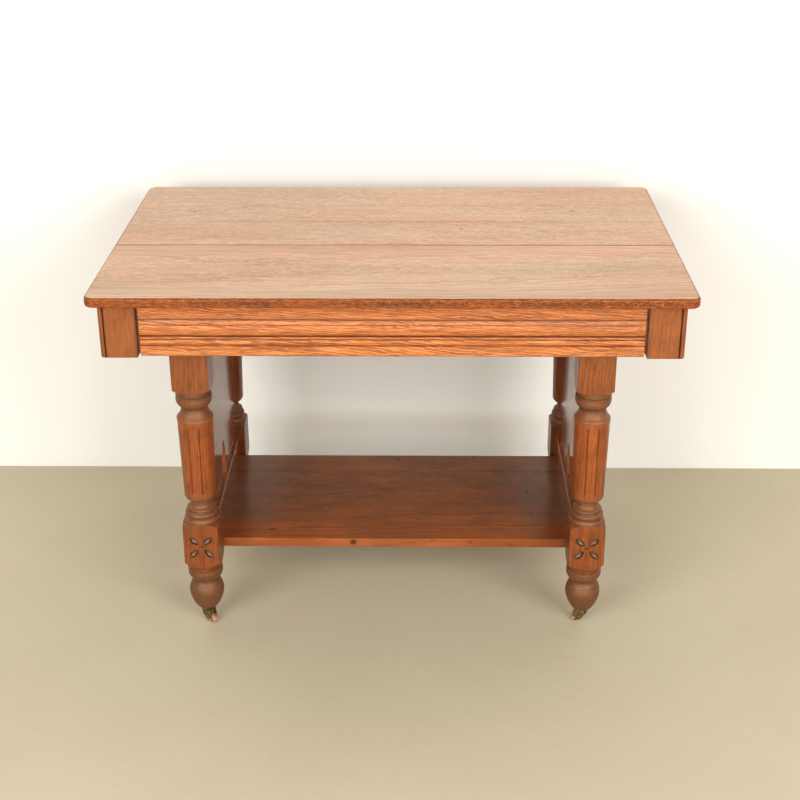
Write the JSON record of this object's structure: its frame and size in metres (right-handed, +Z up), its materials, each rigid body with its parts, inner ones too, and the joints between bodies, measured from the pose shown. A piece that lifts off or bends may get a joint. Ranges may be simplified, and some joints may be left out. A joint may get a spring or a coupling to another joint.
{
  "type": "sewing table",
  "caption": "Rectangular oak sewing table with a reeded apron, turned and carved legs, panelled ends, a low shelf and swivelling casters.",
  "frame": {"origin": "on the floor under the middle of the table", "axes": "+X along the table to its right, -Y to the front, +Z up"},
  "size_m": [1.092, 0.7, 0.749],
  "materials": {
    "oak_top": "worn gloss varnish on oak, grain along the table",
    "oak_apron": "orange-brown gloss varnish on oak",
    "oak_leg": "red-brown gloss varnish on oak, upright grain",
    "oak_end": "dark red-brown gloss varnish on oak",
    "oak_shelf": "dark red-brown gloss varnish on oak, grain along the table",
    "secondary_wood": "bare aged pine",
    "wheel_wood": "worn turned hardwood",
    "caster_brass": "dark tarnished brass",
    "axle_steel": "rubbed steel",
    "screw_steel": "dull steel"
  },
  "bodies": {
    "table": {"apron_back": "oak_apron", "apron_front": "oak_apron", "apron_left": "oak_apron", "apron_right": "oak_apron", "caster_socket_back_left": "caster_brass", "caster_socket_back_right": "caster_brass", "caster_socket_front_left": "caster_brass", "caster_socket_front_right": "caster_brass", "corner_block_back_left": "oak_apron", "corner_block_back_right": "oak_apron", "corner_block_front_left": "oak_apron", "corner_block_front_right": "oak_apron", "end_board_left_back": "oak_end", "end_board_left_back_middle": "oak_end", "end_board_left_front": "oak_end", "end_board_left_front_middle": "oak_end", "end_board_right_back": "oak_end", "end_board_right_back_middle": "oak_end", "end_board_right_front": "oak_end", "end_board_right_front_middle": "oak_end", "glue_blocks_back": "secondary_wood", "glue_blocks_front": "secondary_wood", "glue_blocks_left": "secondary_wood", "glue_blocks_right": "secondary_wood", "leg_back_left": "oak_leg", "leg_back_right": "oak_leg", "leg_front_left": "oak_leg", "leg_front_right": "oak_leg", "lower_rail_left": "oak_end", "lower_rail_right": "oak_end", "shelf_batten_left": "secondary_wood", "shelf_batten_right": "secondary_wood", "shelf_batten_screws": "screw_steel", "shelf_board_back": "oak_shelf", "shelf_board_front": "oak_shelf", "top_batten_left": "secondary_wood", "top_batten_right": "secondary_wood", "top_batten_screws": "screw_steel", "top_board_back": "oak_top", "top_board_front": "oak_top", "top_board_second": "oak_top", "top_board_third": "oak_top", "upper_rail_left": "oak_end", "upper_rail_right": "oak_end"},
    "caster_front_left": {"caster_axle_front_left": "axle_steel", "caster_fork_front_left": "caster_brass"},
    "wheel_front_left": {"caster_wheel_front_left": "wheel_wood"},
    "caster_front_right": {"caster_axle_front_right": "axle_steel", "caster_fork_front_right": "caster_brass"},
    "wheel_front_right": {"caster_wheel_front_right": "wheel_wood"},
    "caster_back_left": {"caster_axle_back_left": "axle_steel", "caster_fork_back_left": "caster_brass"},
    "wheel_back_left": {"caster_wheel_back_left": "wheel_wood"},
    "caster_back_right": {"caster_axle_back_right": "axle_steel", "caster_fork_back_right": "caster_brass"},
    "wheel_back_right": {"caster_wheel_back_right": "wheel_wood"}
  },
  "joints": [
    {"name": "swivel_front_left", "type": "hinge", "parent": "table", "child": "caster_front_left", "pos_m": [-0.381, -0.229, 0.034], "axis": [0, 0, 1], "continuous": true},
    {"name": "roll_front_left", "type": "hinge", "parent": "caster_front_left", "child": "wheel_front_left", "pos_m": [-0.37107, -0.23676, 0.0095], "axis": [-0.6157, -0.788, 0], "continuous": true},
    {"name": "swivel_front_right", "type": "hinge", "parent": "table", "child": "caster_front_right", "pos_m": [0.381, -0.229, 0.034], "axis": [0, 0, 1], "continuous": true},
    {"name": "roll_front_right", "type": "hinge", "parent": "caster_front_right", "child": "wheel_front_right", "pos_m": [0.3702, -0.22251, 0.0095], "axis": [0.515, 0.8572, 0], "continuous": true},
    {"name": "swivel_back_left", "type": "hinge", "parent": "table", "child": "caster_back_left", "pos_m": [-0.381, 0.229, 0.034], "axis": [0, 0, 1], "continuous": true},
    {"name": "roll_back_left", "type": "hinge", "parent": "caster_back_left", "child": "wheel_back_left", "pos_m": [-0.3873, 0.21809, 0.0095], "axis": [-0.866, 0.5, 0], "continuous": true},
    {"name": "swivel_back_right", "type": "hinge", "parent": "table", "child": "caster_back_right", "pos_m": [0.381, 0.229, 0.034], "axis": [0, 0, 1], "continuous": true},
    {"name": "roll_back_right", "type": "hinge", "parent": "caster_back_right", "child": "wheel_back_right", "pos_m": [0.36916, 0.22469, 0.0095], "axis": [-0.342, 0.9397, 0], "continuous": true}
  ]
}
